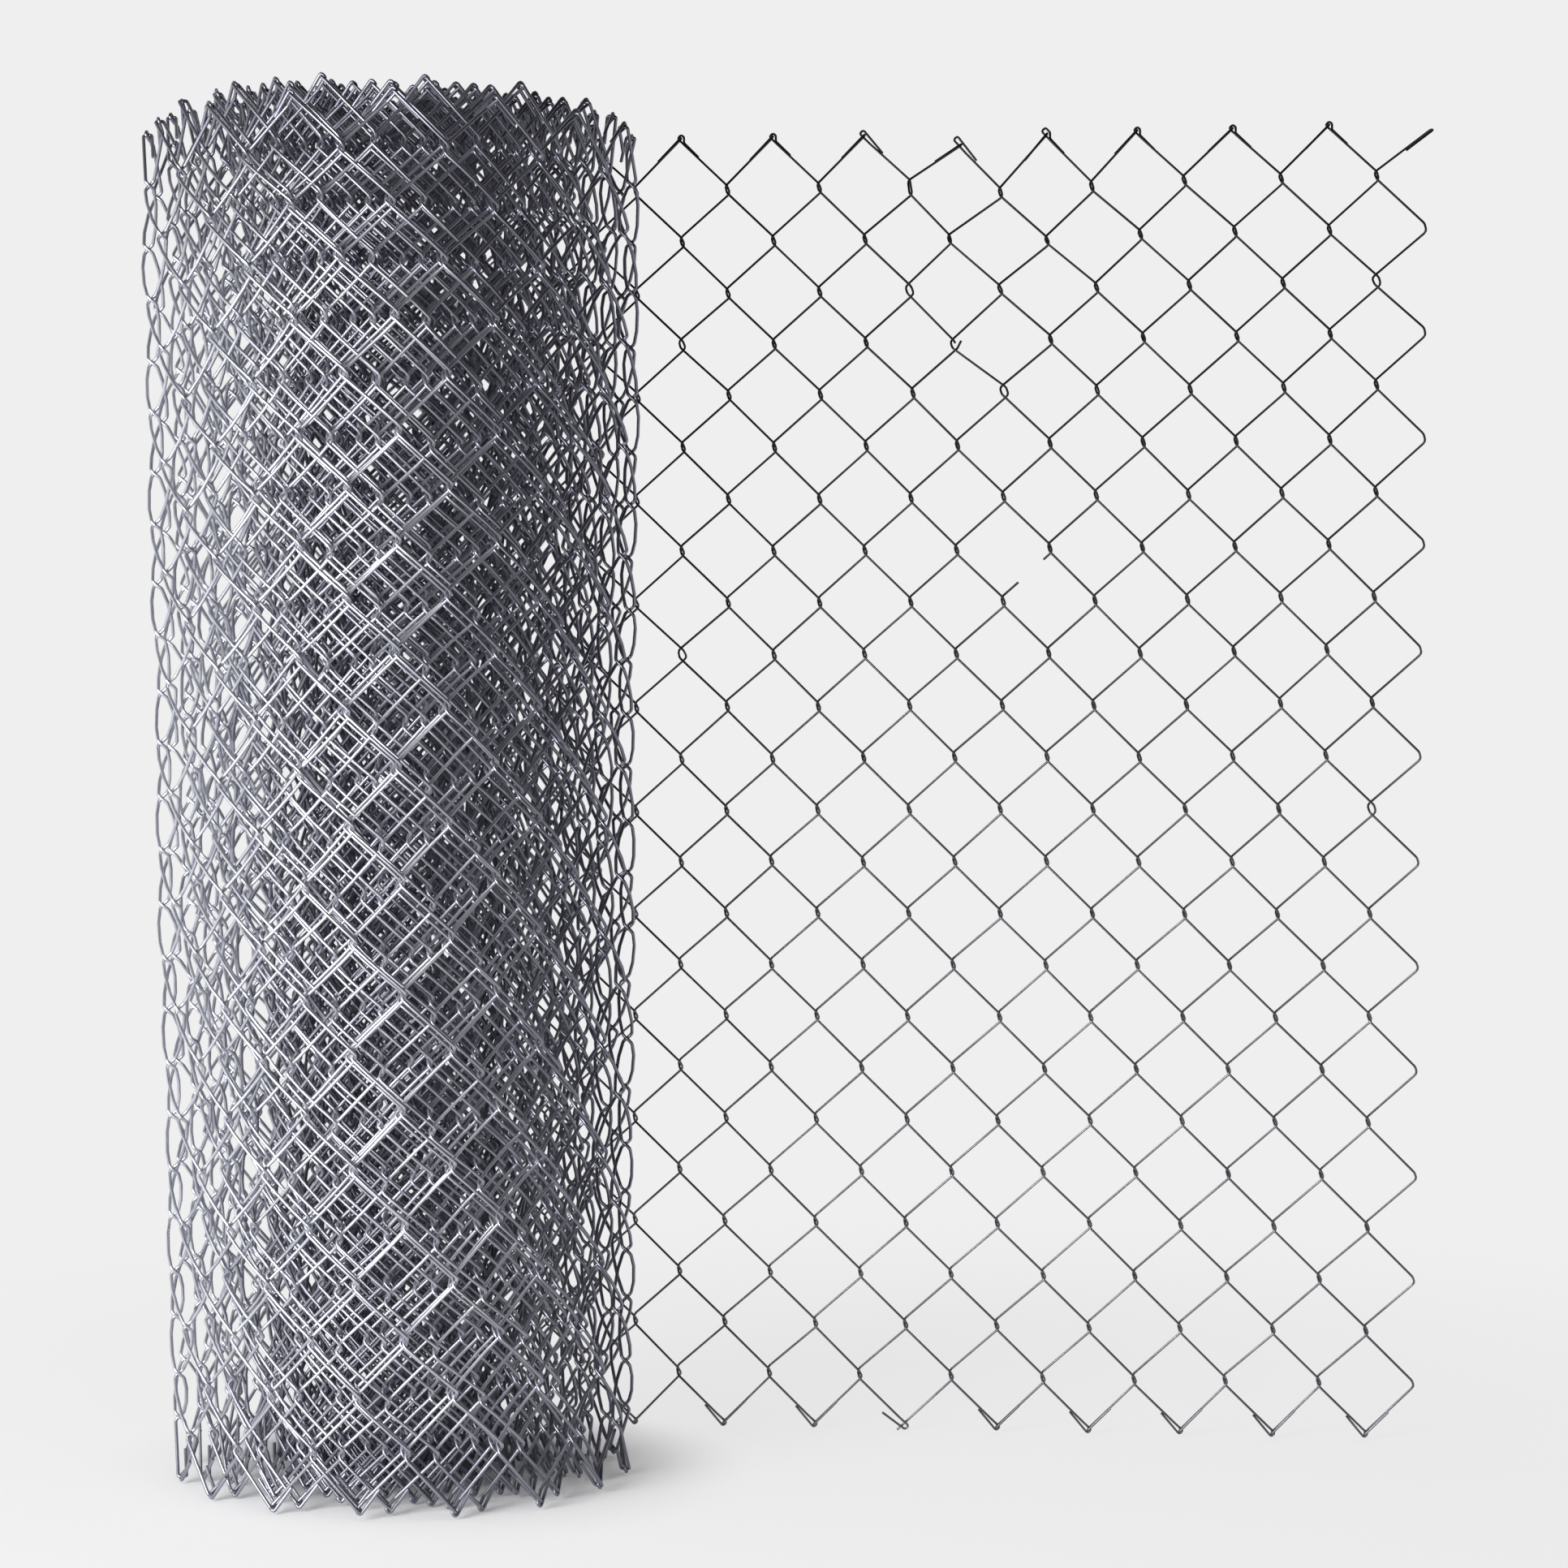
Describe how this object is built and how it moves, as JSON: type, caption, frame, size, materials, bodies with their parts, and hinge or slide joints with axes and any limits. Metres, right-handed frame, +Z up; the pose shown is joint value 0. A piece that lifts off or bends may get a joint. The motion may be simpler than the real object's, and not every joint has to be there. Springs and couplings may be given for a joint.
{
  "type": "roll of chain-link fencing",
  "caption": "Standing roll of galvanised chain-link wire fencing, knuckled along both edges, with its free end drawn out straight as a flat diamond mesh.",
  "frame": {"origin": "axis of the roll's bore, on the floor that its lower end stands on", "axes": "+Z up along the bore, +X along the drawn-out free end, which leaves the roll on its +Y side"},
  "size_m": [1.1095, 0.42, 1.2],
  "materials": {
    "galvanised_wire": "galvanised drawn wire, dull bluish grey with bright highlights"
  },
  "bodies": {
    "root": {"roll": "galvanised_wire", "wire_01": "galvanised_wire", "wire_02": "galvanised_wire", "wire_03": "galvanised_wire", "wire_04": "galvanised_wire", "wire_05": "galvanised_wire", "wire_06": "galvanised_wire", "wire_07": "galvanised_wire", "wire_08": "galvanised_wire", "wire_09": "galvanised_wire", "wire_10": "galvanised_wire", "wire_11": "galvanised_wire", "wire_12": "galvanised_wire", "wire_13": "galvanised_wire", "wire_14": "galvanised_wire", "wire_15": "galvanised_wire", "wire_16": "galvanised_wire", "wire_17": "galvanised_wire", "wire_18": "galvanised_wire", "wire_19": "galvanised_wire", "wire_20": "galvanised_wire", "wire_21": "galvanised_wire"}
  },
  "joints": []
}
